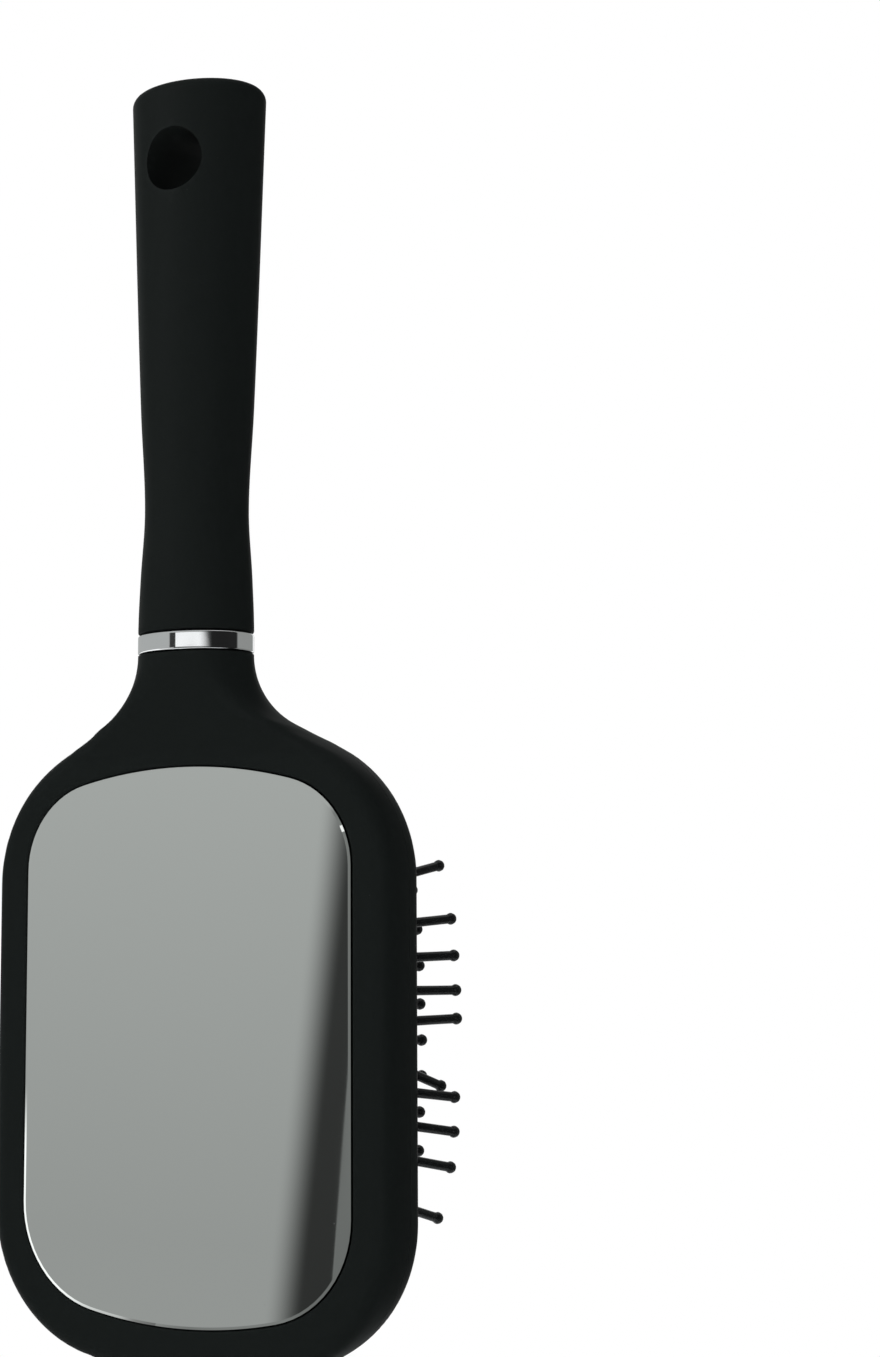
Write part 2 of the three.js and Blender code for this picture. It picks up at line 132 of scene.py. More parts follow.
RIM_REACH = 1.9
CUSHION_MIDDLE = (rim_low[2] + rim_high[2]) / 2
CUSHION_WIDTH = 2 * (rim_high[0] - RIM_REACH)
CUSHION_LENGTH = rim_high[2] - rim_low[2] - 2 * RIM_REACH
MIRROR_MIDDLE = (glass_low[2] + glass_high[2]) / 2
MIRROR_WIDTH = 2 * glass_high[0]
MIRROR_LENGTH = glass_high[2] - glass_low[2]


def cushion_outline(offset):
    return paddle(CUSHION_WIDTH, CUSHION_LENGTH, offset)


def mirror_outline(offset):
    return paddle(MIRROR_WIDTH, MIRROR_LENGTH, offset)


print("points in an outline:", len(mirror_outline(0)))

# %% [markdown]
# ## Meshes from rings of points
# Most pieces here are skins over a stack of rings: a grip, a bevelled glass, a collar. One helper joins
# ring to ring with four-sided faces and closes the ends. Edges that turn sharply are marked so that
# shading breaks there, and everything else is shaded smooth.

# %% Mesh helpers
def add_object(name, data):
    item = bpy.data.objects.new(name, data)
    bpy.context.scene.collection.objects.link(item)
    return item


def make_piece(name, points, faces, sharp_angle=35):
    mesh = bpy.data.meshes.new(name)
    mesh.from_pydata((np.asarray(points) * MM).tolist(), [], faces)
    piece = add_object(name, mesh)
    tidy_shading(piece, sharp_angle)
    return piece


def tidy_shading(piece, sharp_angle=35):
    work = bmesh.new()
    work.from_mesh(piece.data)
    bmesh.ops.recalc_face_normals(work, faces=work.faces)
    limit = math.radians(sharp_angle)
    for edge in work.edges:
        edge.smooth = len(edge.link_faces) == 2 and edge.calc_face_angle(0) < limit
    for face in work.faces:
        face.smooth = True
    work.to_mesh(piece.data)
    work.free()


def skin_rings(rings, closed_ends=True, first=0):
    """Points and faces of a skin over rings with the same count of points."""
    count = len(rings[0])
    points = np.vstack(rings)
    faces = []
    for i in range(len(rings) - 1):
        for j in range(count):
            k = (j + 1) % count
            a, b = first + i * count, first + (i + 1) * count
            faces.append((a + j, a + k, b + k, b + j))
    if closed_ends:
        last = first + (len(rings) - 1) * count
        faces.append(tuple(first + j for j in reversed(range(count))))
        faces.append(tuple(last + j for j in range(count)))
    return points, faces


def plate_ring(outline, depth, middle):
    """An outline drawn in the plane of the head, set at a depth."""
    return np.column_stack([outline[:, 0], np.full(len(outline), depth), outline[:, 1] + middle])


def level_ring(half_width, half_depth, height, count=96):
    turn = np.linspace(0, 2 * math.pi, count, endpoint=False)
    return np.column_stack([half_width * np.cos(turn), half_depth * np.sin(turn), np.full(count, height)])


def quarter_round(radius, count):
    """For each ring of a rounded edge: how far it is drawn in, and how far along it lies."""
    turn = np.linspace(0, math.pi / 2, count)
    return list(zip(radius * (1 - np.sin(turn)), radius * (1 - np.cos(turn))))


def cut(piece, cutter):
    """Cuts another piece out of a piece, and throws the other one away."""
    step = piece.modifiers.new("cut", "BOOLEAN")
    step.operation = "DIFFERENCE"
    step.solver = "EXACT"
    step.object = cutter
    graph = bpy.context.evaluated_depsgraph_get()
    made = bpy.data.meshes.new_from_object(piece.evaluated_get(graph))
    piece.modifiers.remove(step)
    piece.data = made
    bpy.data.objects.remove(cutter)
    tidy_shading(piece)


def block(name, low, high):
    ring = np.array([[low[0], low[1]], [high[0], low[1]], [high[0], high[1]], [low[0], high[1]]])
    rings = [np.column_stack([ring, np.full(4, z)]) for z in (low[2], high[2])]
    return make_piece(name, *skin_rings(rings))


# %% [markdown]
# ## The head as one soft form
# The head is an injection moulding with no hard line on its outside: flat faces run into round edges,
# and the round neck is cut by two flat facets that leave soft arcs. Joining and bevelling boxes would
# fight with those arcs, so a distance function says instead how far any point lies outside each simple
# shape. Two shapes are blended with a rounded corner, and the surface is where the result is zero.

# %% Distance to the head's outline
BOTTOM_ARC = 90.0
CORNER = 28.0
NECK_FILLET = 15.5
SLOPE = math.radians(61.8)
FAR_INSIDE = -60.0
TOLERANCE = 1e-4
SPARE = 30


def outline_parts():
    """The right half of the outline as arcs and lines: (kind, numbers...)."""
    across = HEAD_HALF - CORNER
    end_centre = HEAD_END + BOTTOM_ARC
    corner_up = end_centre - math.sqrt((BOTTOM_ARC - CORNER) ** 2 - across ** 2)
    corner_turn = math.atan2(corner_up - end_centre, across)
    run = HEAD_HALF - NECK_HALF - (CORNER + NECK_FILLET) * (1 - math.cos(SLOPE))
    foot = NECK_TOP - NECK_FILLET * math.sin(SLOPE)
    shoulder_end = foot - run / math.tan(SLOPE)
    shoulder = shoulder_end - CORNER * math.sin(SLOPE)
    foot_x = NECK_HALF + NECK_FILLET * (1 - math.cos(SLOPE))
    return [
        ("arc", 0, end_centre, BOTTOM_ARC, -math.pi / 2, corner_turn, 1),
        ("arc", across, corner_up, CORNER, corner_turn, 0, 1),
        ("line", HEAD_HALF, corner_up, HEAD_HALF, shoulder),
        ("arc", across, shoulder, CORNER, 0, SLOPE, 1),
        ("line", foot_x + run, shoulder_end, foot_x, foot),
        ("arc", NECK_HALF + NECK_FILLET, NECK_TOP, NECK_FILLET, math.pi, math.pi + SLOPE, -1),
        ("line", NECK_HALF, NECK_TOP, NECK_HALF, NECK_TOP + SPARE),
    ]


PARTS = outline_parts()
SHOULDER_ARC, SLOPE_LINE, FILLET_ARC = PARTS[3:6]


def outside_of_outline(x, z):
    """Distance to the outline in the plane of the head, negative inside."""
    x = np.abs(x)
    best = np.full(np.broadcast(x, z).shape, FAR_INSIDE)
    for part in PARTS:
        if part[0] == "arc":
            _, cx, cz, radius, start, stop, sign = part
            turn = np.arctan2(z - cz, x - cx) - (start + stop) / 2
            turn = np.abs((turn + np.pi) % (2 * np.pi) - np.pi)
            fits = turn <= abs(stop - start) / 2 + TOLERANCE
            distance = sign * (np.hypot(x - cx, z - cz) - radius)
        else:
            _, ax, az, bx, bz = part
            dx, dz = bx - ax, bz - az
            length = math.hypot(dx, dz)
            along = ((x - ax) * dx + (z - az) * dz) / length
            fits = (along >= -TOLERANCE) & (along <= length + TOLERANCE)
            distance = ((x - ax) * dz - (z - az) * dx) / length
        best = np.where(fits & (np.abs(distance) < np.abs(best)), distance, best)
    return best


def half_width_at(z):
    """Half the width of neck and shoulders at a height."""
    _, cx, cz, radius, *_ = SHOULDER_ARC
    _, ax, az, bx, bz = SLOPE_LINE
    _, fx, fz, fillet, *_ = FILLET_ARC
    shoulder = cx + np.sqrt(np.maximum(radius ** 2 - np.clip(z - cz, 0, radius) ** 2, 0))
    slope = ax + (z - az) * (bx - ax) / (bz - az)
    round_in = fx - np.sqrt(np.maximum(fillet ** 2 - np.clip(fz - z, 0, fillet) ** 2, 0))
    return np.where(z < az, shoulder, np.where(z < bz, slope, round_in))


print("neck is", round(2 * float(half_width_at(np.array(NECK_TOP))), 1), "mm wide under the ring")

# %% [markdown]
# A plain maximum of two distances gives a sharp edge. Adding the radius back inside the corner gives a
# true round one, as a ball-nose cutter would leave it.

# %% Blend the shapes into the head's form
def round_edge(a, b, radius):
    inner = np.minimum(np.maximum(a + radius, b + radius), 0)
    outer = np.hypot(np.maximum(a + radius, 0), np.maximum(b + radius, 0))
    return inner + outer - radius


def ease(value, start, stop):
    t = np.clip((value - start) / (stop - start), 0, 1)
    return t * t * (3 - 2 * t)


WALL_CURVE = 0.9
EDGE_RADIUS, NECK_EDGE_RADIUS = 2.6, 1.6
GIVE_WAY = 3
WALL_ENDS = (-113.0, -104.0)
TUBE_ENDS = (-112.0, -122.0)
FACET_FOOT, FACET_TOP = NECK_TOP - 20.0, NECK_TOP - 1.5
FACET_SOFTNESS = 1.6
FRAME_STEP, FRAME_STEP_RUN, FRAME_ROUNDING = 1.4, 2.7, 2.0
NECK_FACET_SHORT = 2.2
FLAT_UNTIL = SEAM_HEIGHT - 4


def sides(x, y, z):
    """The side wall of the head, which gives way to an oval tube at the neck."""
    bulge = WALL_CURVE * ((y - MID_DEPTH) / (BACK_FACE - MID_DEPTH)) ** 2
    wall = outside_of_outline(x, z) + bulge - GIVE_WAY * ease(z, *WALL_ENDS)
    half = half_width_at(z)
    deep = half * NECK_DEPTH / NECK_HALF
    middle = MID_DEPTH * (half - NECK_HALF) / (HEAD_HALF - NECK_HALF)
    once = np.sqrt((x / half) ** 2 + ((y - middle) / deep) ** 2)
    twice = np.sqrt((x / half ** 2) ** 2 + ((y - middle) / deep ** 2) ** 2)
    tube = once * (once - 1) / np.maximum(twice, 1e-6) - GIVE_WAY * ease(z, *TUBE_ENDS)
    return np.maximum(wall, tube)


def back_surface(y, z):
    lean = (NECK_DEPTH - BACK_FACE) / (FACET_TOP - FACET_FOOT)
    flat = y - BACK_FACE
    facet = (y - BACK_FACE - lean * (z - FACET_FOOT)) / math.hypot(1, lean)
    soft = 0.5 * (1 + np.tanh((z - FACET_FOOT) / FACET_SOFTNESS))
    return flat * (1 - soft) + facet * soft


def front_surface(y, z, of_frame):
    if of_frame:
        taper = FRAME_STEP / FRAME_STEP_RUN
        facet = (FRONT_FACE + taper * (z - SEAM_HEIGHT + FRAME_STEP_RUN) - y) / math.hypot(1, taper)
        return round_edge(FRONT_FACE - y, facet, FRAME_ROUNDING)
    rise = (FRONT_FACE + FRAME_STEP + NECK_DEPTH) / (SEAM_HEIGHT - NECK_TOP + NECK_FACET_SHORT)
    facet = (FRONT_FACE + FRAME_STEP + rise * (z - SEAM_HEIGHT) - y) / math.hypot(1, rise)
    return np.where(z < FLAT_UNTIL, FRONT_FACE - y, facet)


def head_form(x, y, z, of_frame):
    at_neck = ease(z, FACET_FOOT - 4, FACET_FOOT + 6)
    radius = EDGE_RADIUS - (EDGE_RADIUS - NECK_EDGE_RADIUS) * at_neck
    form = round_edge(sides(x, y, z), back_surface(y, z), radius)
    return round_edge(form, front_surface(y, z, of_frame), radius)


# %% [markdown]
# To turn the function into a mesh, space is divided into small cubes. Each cube that the surface passes
# through gets one point, and each cube edge that crosses the surface gets one four-sided face. The
# points are then slid onto the surface along the steepest way, and evened out a little, so the faces
# follow the form like a net pulled over it.

# %% Cast a net over a form
def cast_net(form, low, high, cell):
    counts = np.ceil((np.array(high) - low) / cell).astype(int) + 1
    axes = [low[i] + cell * np.arange(counts[i]) for i in range(3)]
    inside = form(*np.ix_(*axes)) < 0
    full = np.zeros(counts - 1, int)
    for i, j, k in np.ndindex(2, 2, 2):
        full += inside[i:counts[0] - 1 + i, j:counts[1] - 1 + j, k:counts[2] - 1 + k]
    crossed = (full > 0) & (full < 8)
    number = np.full(crossed.shape, -1)
    number[crossed] = np.arange(crossed.sum())
    points = np.array(low) + cell * (np.argwhere(crossed) + 0.5)
    faces = []
    for axis in range(3):
        other, third = (axis + 1) % 3, (axis + 2) % 3
        change = np.diff(inside.astype(np.int8), axis=axis)
        keep = [slice(None)] * 3
        keep[other] = keep[third] = slice(1, -1)
        change = change[tuple(keep)]
        at = np.argwhere(change != 0)
        sign = change[change != 0]
        corners = []
        for beside in ((0, 0), (1, 0), (1, 1), (0, 1)):
            cell_at = at.copy()
            cell_at[:, [other, third]] += beside
            corners.append(number[tuple(cell_at.T)])
        quads = np.column_stack(corners)
        faces.append(np.where((sign < 0)[:, None], quads, quads[:, ::-1]))
    return points, np.vstack(faces)


def slide_onto(form, points, rounds=3, nudge=0.02):
    for _ in range(rounds):
        slope = np.column_stack([
            form(*(points + step).T) - form(*(points - step).T) for step in nudge * np.eye(3)
        ]) / (2 * nudge)
        steep = np.maximum((slope ** 2).sum(1), 0.05)
        points = points - slope * (form(*points.T) / steep)[:, None]
    return points


def even_out(points, faces, strength=0.5):
    total = np.zeros_like(points)
    uses = np.zeros(len(points))
    for i in range(4):
        ends = faces[:, i], faces[:, (i + 1) % 4]
        for here, there in (ends, ends[::-1]):
            np.add.at(total, here, points[there])
            np.add.at(uses, here, 1)
    return points + strength * (total / uses[:, None] - points)


CELL = 1.0
ROOM_LOW = (-HEAD_HALF - 2.3, -13.2, HEAD_END - 3.1)
SHELL_ROOM_HIGH = (HEAD_HALF + 2.3, 12.3, NECK_TOP + 8)
FRONT_ROOM_HIGH = (HEAD_HALF + 2.3, 7.3, NECK_TOP + 4)


def net_piece(name, of_frame, high):
    def form(x, y, z):
        return head_form(x, y, z, of_frame)

    points, faces = cast_net(form, ROOM_LOW, high, CELL)
    points = slide_onto(form, points)
    for _ in range(4):
        points = slide_onto(form, even_out(points, faces), 2)
    points = even_out(points, faces, 0.35)
    return make_piece(name, points, faces.tolist(), 60)


shell = net_piece("head_shell", False, SHELL_ROOM_HIGH)
front = net_piece("head_front", True, FRONT_ROOM_HIGH)
print("faces in the shell's net:", len(shell.data.polygons))

# %% [markdown]
# ## Cutting the head into its two mouldings
# The real head is two shells, joined along a line round its edge and across the neck. Both were cast
# whole above, so that their outsides agree, and are now trimmed to the joint with plain blocks. The
# cutters of the openings flare out where they leave the surface, which gives a small round lip.

# %% Trim the two shells and cut their openings
LIP, CUTTER_FLARE = 0.35, 3
CROSS_JOINT, EDGE_JOINT = 0.08, 0.06
RECESS_UNDER_GLASS = 0.9


def rounded_cutter(name, outline_at, middle, face, inward, floor):
    """A cutter that enters at a face, with a flare that leaves a lip of radius LIP."""
    rings = [plate_ring(outline_at(LIP + CUTTER_FLARE), face - CUTTER_FLARE * inward, middle)]
    for flare, sunk in quarter_round(LIP, 5):
        rings.append(plate_ring(outline_at(flare), face + inward * sunk, middle))
    rings.append(plate_ring(outline_at(0), floor, middle))
    return make_piece(name, *skin_rings(rings))


def mirror_seat(offset):
    return mirror_outline(offset + SOLID_GAP)


far, below = HEAD_HALF + 10, HEAD_END - 9
cut(front, block("above", (-far, -SPARE, SEAM_HEIGHT - CROSS_JOINT), (far, SPARE, NECK_TOP + SPARE)))
cut(front, block("behind", (-far, SEAM_DEPTH - EDGE_JOINT, below), (far, SPARE, NECK_TOP + SPARE + 1)))
cut(front, rounded_cutter("opening", cushion_outline, CUSHION_MIDDLE, FRONT_FACE, 1, SEAM_DEPTH + 3))

cut(shell, block("before", (-far, -SPARE, below), (far, SEAM_DEPTH + EDGE_JOINT, SEAM_HEIGHT + CROSS_JOINT)))
cut(shell, block("ring_side", (-far, -SPARE, NECK_TOP), (far, SPARE, NECK_TOP + SPARE)))
cut(shell, rounded_cutter("recess", mirror_seat, MIRROR_MIDDLE, BACK_FACE, -1,
                          glass_low[1] - RECESS_UNDER_GLASS))
print("front frame:", len(front.data.polygons), "faces; back shell:", len(shell.data.polygons), "faces")

# %% [markdown]
# ## The grip
# The grip is a sleeve of soft rubbery plastic over a stiff core. Its section is an oval that is drawn in
# to a waist above the ring and widens towards the end, so that a hand finds its place. The width and
# depth of its rings are read from one smooth curve each, and only the hanging hole is cut.

# %% Build the grip
GRIP_SHAPE = [  # height above the grip's lower end, width, depth
    (0.0, 23.7, 18.7),
    (10.8, 22.87, 18.27),
    (24.0, 21.2, 17.4),
    (44.4, 23.36, 18.54),
    (108.4, 28.4, 21.2),
]
MOUTH_ROUNDING, END_ROUNDING = 0.4, 2.4
RING_SPACE, MIDDLE_RINGS = 1.5, 58
HOLE_RADIUS, HOLE_POINTS = 6.3, 96


def smooth_through(at, knots, values):
    """A smooth curve through the values that doesn't swing past them."""
    knots, values = np.array(knots, float), np.array(values, float)
    steps = np.diff(values) / np.diff(knots)
    slopes = np.concatenate([[0.0], (steps[:-1] + steps[1:]) / 2, [steps[-1]]])
    flat = np.concatenate([[False], steps[:-1] * steps[1:] < 0, [False]])
    slopes[flat] = 0
    i = np.clip(np.searchsorted(knots, at) - 1, 0, len(knots) - 2)
    width = knots[i + 1] - knots[i]
    t = (at - knots[i]) / width
    return ((2 * t ** 3 - 3 * t ** 2 + 1) * values[i] + (t ** 3 - 2 * t ** 2 + t) * width * slopes[i]
            + (3 * t ** 2 - 2 * t ** 3) * values[i + 1] + (t ** 3 - t ** 2) * width * slopes[i + 1])


def grip_size(height):
    knots, widths, depths = zip(*GRIP_SHAPE)
    return smooth_through(height, knots, widths) / 2, smooth_through(height, knots, depths) / 2


def grip_rings():
    length = grip_high[2] - grip_low[2]
    wide, deep = grip_size(0.0)
    rings = [level_ring(wide - drawn, deep - drawn, grip_low[2] + along)
             for drawn, along in quarter_round(MOUTH_ROUNDING, 4)]
    for height in np.linspace(RING_SPACE, length - END_ROUNDING - RING_SPACE, MIDDLE_RINGS):
        rings.append(level_ring(*grip_size(height), grip_low[2] + height))
    for short, drawn in quarter_round(END_ROUNDING, 9):
        height = length - short
        wide, deep = grip_size(height)
        rings.append(level_ring(wide - drawn, deep - drawn, grip_low[2] + height))
    return rings


grip = make_piece("grip", *skin_rings(grip_rings()))
last = HOLE_POINTS - 1
circle = arc((0, 0), HOLE_RADIUS, 0, 2 * math.pi * last / HOLE_POINTS, last)
cut(grip, make_piece("hole_cutter", *skin_rings([plate_ring(circle, depth, 0) for depth in (-20, 20)])))
print("grip faces:", len(grip.data.polygons))

# %% [markdown]
# ## The bright ring
# A turned and plated collar sits between grip and neck, flush with both. It has tiny rounded edges,
# which catch the light as two fine lines, so they are built in rather than left to shading.

# %% Build the ring
RING_EDGE, RING_INSIDE, RING_POINTS = 0.35, 2.0, 128
EDGE_TO_BAND = 0.08


def ring_rings():
    half = [(RING_INSIDE, 0.0), *quarter_round(RING_EDGE, 5), (0.0, RING_EDGE + EDGE_TO_BAND)]
    sizes = [(drawn, ring_low[2] + along) for drawn, along in half]
    sizes += [(drawn, ring_high[2] - along) for drawn, along in reversed(half)]
    return [level_ring(NECK_HALF - drawn, NECK_DEPTH - drawn, z, RING_POINTS) for drawn, z in sizes]


ring = make_piece("bright_ring", *skin_rings(ring_rings()), sharp_angle=50)
print("ring:", round(ring_high[2] - ring_low[2], 2), "mm high")

# %% [markdown]
# ## The mirror
# The mirror is a pane of glass silvered on its back, with the front edge ground to a narrow bevel. The
# bevel makes it look like glass: it mirrors another part of the room than the flat does, and so draws a
# thin line round it. Both are flat-shaded, with a true edge between them.

# %% Build the mirror
BEVEL, BEVEL_DROP = 0.5, 0.11
glass_rings = [
    plate_ring(mirror_outline(offset), depth, MIRROR_MIDDLE)
    for offset, depth in ((0, glass_low[1]), (0, glass_high[1] - BEVEL_DROP), (-BEVEL, glass_high[1]))
]
glass = make_piece("mirror_pane", *skin_rings(glass_rings), sharp_angle=8)
print("mirror:", round(MIRROR_WIDTH), "by", round(MIRROR_LENGTH), "mm")

# %% [markdown]
# ## The air cushion
# The pins stand in a sheet of rubber that is bowed outwards over a chamber of air. Its height falls off
# slowly in the middle and quickly at the edge. The sheet is a net of closed lines, each a smaller copy
# of the opening's outline, lifted by that rule. Its edge turns down into the groove beside the frame.

# %% Build the rubber sheet and its rim
CROWN, CROWN_POWER = 5.8, 2.7
SHEET_LINES, LINE_SPREAD = 46, 1.25
SHEET_EDGE, SHEET_SUNK = -0.55, 0.35
ROLL, ROLL_DROP, SKIRT, HEM = 0.25, 0.4, 2.2, 1.5
RIM_DROP, RIM_THICK, RIM_INSIDE = 1.3, 1.2, 3.0
RIM_LIP_OUT, RIM_LIP_IN = -0.15, -0.28


def crown_height(reach):
    return CROWN * (1 - reach ** CROWN_POWER)


def cushion_ring(offset, depth):
    return plate_ring(cushion_outline(offset), depth, CUSHION_MIDDLE)


def sheet_rings():
    outline = cushion_outline(SHEET_EDGE)
    edge_depth = FRONT_FACE + SHEET_SUNK
    rings = []
    for reach in 1 - (1 - np.linspace(0.02, 1, SHEET_LINES)) ** LINE_SPREAD:
        rings.append(plate_ring(outline * reach, edge_depth - crown_height(reach), CUSHION_MIDDLE))
    for turn in np.linspace(0.25, math.pi / 2, 5):
        drop = ROLL + ROLL_DROP * (1 - math.cos(turn))
        rings.append(cushion_ring(SHEET_EDGE + ROLL * math.sin(turn), edge_depth + drop))
    rings.append(cushion_ring(SHEET_EDGE + ROLL, edge_depth + SKIRT))
    rings.append(cushion_ring(SHEET_EDGE - HEM, edge_depth + SKIRT))
    return rings


sheet = make_piece("rubber_sheet", *skin_rings(sheet_rings()), sharp_angle=60)
rim_back = rim_high[1]
rim_step, rim_top = rim_back - RIM_THICK, FRONT_FACE + RIM_DROP
rim_section = [
    (-RIM_INSIDE, rim_back), (RIM_REACH, rim_back), (RIM_REACH, rim_step),
    (RIM_LIP_OUT, rim_step), (RIM_LIP_OUT, rim_top), (RIM_LIP_IN, rim_top),
]
rim_rings = [cushion_ring(offset, depth) for offset, depth in rim_section]
rim = make_piece("rubber_rim", *skin_rings(rim_rings, closed_ends=False))
print("sheet faces:", len(sheet.data.polygons))

# %% [markdown]
# ## The pins
# Each pin is a separate nylon moulding: a flared foot that seals in the rubber, a slightly tapered
# shaft, and a ball that keeps it from scratching. It is a turned shape, so one outline is spun round at
# every place.

# %% Build one pin's outline
PIN_LENGTH = 18.3
PIN_ROOT, ROOT_RADIUS = 1.2, 1.35
BALL, BALL_NECK = 1.15, 2.1
SHAFT = 0.9
PIN_SIDES = 12
FLARE_LENGTH = 3.2


def pin_outline():
    """Distance along the pin from its root, and radius there."""
    flare = [(t * FLARE_LENGTH, SHAFT + 0.06 + 0.4 * (1 - t) ** 2) for t in np.linspace(0, 1, 6)]
    neck = PIN_ROOT + PIN_LENGTH - BALL_NECK
    shaft = [(6.0, SHAFT + 0.04), (10.0, SHAFT + 0.02), (14.0, SHAFT), (neck, SHAFT)]
    centre = PIN_ROOT + PIN_LENGTH - BALL
    start = math.acos(SHAFT / BALL) + math.pi / 2
    ball = [(centre - BALL * math.cos(math.pi - t), BALL * math.sin(t))
            for t in np.linspace(start, 0.12, 9)]
    root = [(0.0, ROOT_RADIUS), (PIN_ROOT, ROOT_RADIUS)]
    return root + [(PIN_ROOT + a, r) for a, r in flare[1:]] + shaft + ball


PROFILE = np.array(pin_outline())
print("points along a pin:", len(PROFILE))

# %% [markdown]
# The pins stand in columns that are shifted by half a step from their neighbours, and they fan outwards
# because the sheet is bowed. In the two side columns the end pins stand a little apart and further in.
# Real pins never stand perfectly true: those at the sides lean out more in the middle of the brush than
# at its ends, all of them hang a little, and each has a degree or so of its own. Some at one edge have
# been knocked out of line in use, and one of them right over.

# %% Place the pins in their columns
PINS_IN_COLUMN = [10, 13, 14, 15, 14, 15]
COLUMNS = 2 * len(PINS_IN_COLUMN) - 1
SIDE_MARGIN, END_MARGIN = 4.25, 4.1
COLUMN_STEP = (CUSHION_WIDTH - 2 * SIDE_MARGIN) / (COLUMNS - 1)
PIN_STEP = (CUSHION_LENGTH - 2 * END_MARGIN) / (max(PINS_IN_COLUMN) - 1)
SIDE_CROWDING = 0.896
END_APART, END_DRAWN_IN = 2.0, 0.8
FAN_ACROSS, FAN_ALONG = 1.1, 0.48
BOW_FROM, BOW_MIDDLE, BOW_LESS = 0.7, 0.18, 0.4
HANG = -0.05
OWN_LEAN = 0.014
CROWN_INSET, PIN_SEAT = -1.4, 0.3
KNOCKED = {(0, 1): (0.0, 0.03), (0, 3): (0.05, -0.06), (0, 4): (0.405, -0.367), (0, 5): (0.0, 0.06),
           (0, 6): (0.0, -0.03), (0, 7): (0.0, -0.075), (0, 8): (0.0, -0.065)}


def reach_of(outline, x, z):
    after = np.roll(outline, -1, axis=0)
    nx, nz = after[:, 1] - outline[:, 1], outline[:, 0] - after[:, 0]
    size = nx * outline[:, 0] + nz * outline[:, 1]
    keep = np.abs(size) > 1e-9
    return float(((nx * x + nz * z)[keep] / size[keep]).max())


def pin_places(column):
    from_side = min(column, COLUMNS - 1 - column)
    x = (column - (COLUMNS - 1) / 2) * COLUMN_STEP
    step = PIN_STEP * (SIDE_CROWDING if from_side == 0 else 1)
    middle = (PINS_IN_COLUMN[from_side] - 1) / 2
    places = [[x, (i - middle) * step, (i - middle) / middle] for i in range(PINS_IN_COLUMN[from_side])]
    if from_side == 0:
        for end in (places[0], places[-1]):
            end[0] -= math.copysign(END_DRAWN_IN, x)
            end[1] += math.copysign(END_APART, end[1])
    return places


def pin_lean(x, z, share):
    """The way a pin points, a given share of the way from its column's middle to its end."""
    across, along = x / (CUSHION_WIDTH / 2), z / (CUSHION_LENGTH / 2)
    lean = np.array([FAN_ACROSS * across ** 3, -1.0, FAN_ALONG * along ** 3 + across ** 6 * along])
    bow = min(1.0, (abs(across) / BOW_FROM) ** 6) * (BOW_MIDDLE - BOW_LESS * share ** 2)
    return lean + np.array([bow * math.copysign(1.0, x), 0.0, HANG])


def pin_rings(x, z, lean):
    """The rings of one pin, which points a given way from its foot in the rubber."""
    lean = lean / np.linalg.norm(lean)
    side = np.cross(lean, (0, 0, 1))
    side /= np.linalg.norm(side)
    up = np.cross(side, lean)
    height = crown_height(reach_of(crown_line, x, z))
    foot = np.array([x, FRONT_FACE + PIN_SEAT - height, z + CUSHION_MIDDLE]) - PIN_ROOT * lean
    turn = np.linspace(0, 2 * math.pi, PIN_SIDES, endpoint=False)
    circle = np.cos(turn)[:, None] * side + np.sin(turn)[:, None] * up
    return [foot + along * lean + radius * circle for along, radius in PROFILE]


chance = np.random.default_rng(7)
crown_line = cushion_outline(CROWN_INSET)
columns = []
for column in range(COLUMNS):
    rings, faces = [], []
    for place, (x, z, share) in enumerate(pin_places(column)):
        lean = pin_lean(x, z, share)
        lean[[0, 2]] += chance.normal(0, OWN_LEAN, 2)
        lean[[0, 2]] += KNOCKED.get((column, place), (0, 0))
        pin = pin_rings(x, z, lean)
        faces.extend(skin_rings(pin, first=len(rings) * PIN_SIDES)[1])
        rings.extend(pin)
    columns.append(make_piece(f"pins_{column + 1:02d}", np.vstack(rings), faces, sharp_angle=70))
print("pins:", sum(len(pin_places(c)) for c in range(COLUMNS)))

# %% [markdown]
# ## Finishes
# Every finish is a node material, so it has no resolution and needs no unwrapping. Effects that finishes
# share are node groups: moulded grain, the marks of handling with a painted edge highlight, and the
# dimples of the rubber sheet. A group only works out masks and surface normals; the shader, with its
# constant settings, stays in the material where it can be seen and changed.

# %% Helpers for node trees
def new_group(name, inputs, outputs):
    tree = bpy.data.node_groups.new(name, "ShaderNodeTree")
    for label, default in inputs:
        socket = tree.interface.new_socket(label, in_out="INPUT", socket_type="NodeSocketFloat")
        socket.default_value = default
    for label in outputs:
        kind = "NodeSocketVector" if label == "Normal" else "NodeSocketFloat"
        tree.interface.new_socket(label, in_out="OUTPUT", socket_type=kind)
    return tree, tree.nodes.new("NodeGroupInput").outputs, tree.nodes.new("NodeGroupOutput")


def feed(tree, node, values):
    """Gives a node's inputs their values: an output is linked, and anything else is set."""
    for label, value in dict(values).items():
        if isinstance(value, bpy.types.NodeSocket):
            tree.links.new(value, node.inputs[label])
        else:
            node.inputs[label].default_value = value


def add_node(tree, kind, values=(), **settings):
    node = tree.nodes.new(kind)
    for name, value in settings.items():
        setattr(node, name, value)
    feed(tree, node, values)
    return node


def sums(tree, operation, first, second=0.0, third=0.0):
    node = add_node(tree, "ShaderNodeMath", {0: first, 1: second, 2: third}, operation=operation)
    return node.outputs[0]


def times(tree, first, second):
    return sums(tree, "MULTIPLY", first, second)


def place_mm(tree):
    """The object's own coordinates, in millimetres."""
    where = add_node(tree, "ShaderNodeTexCoord").outputs["Object"]
    return add_node(tree, "ShaderNodeVectorMath", {0: where, "Scale": 1 / MM},
                    operation="SCALE").outputs[0]


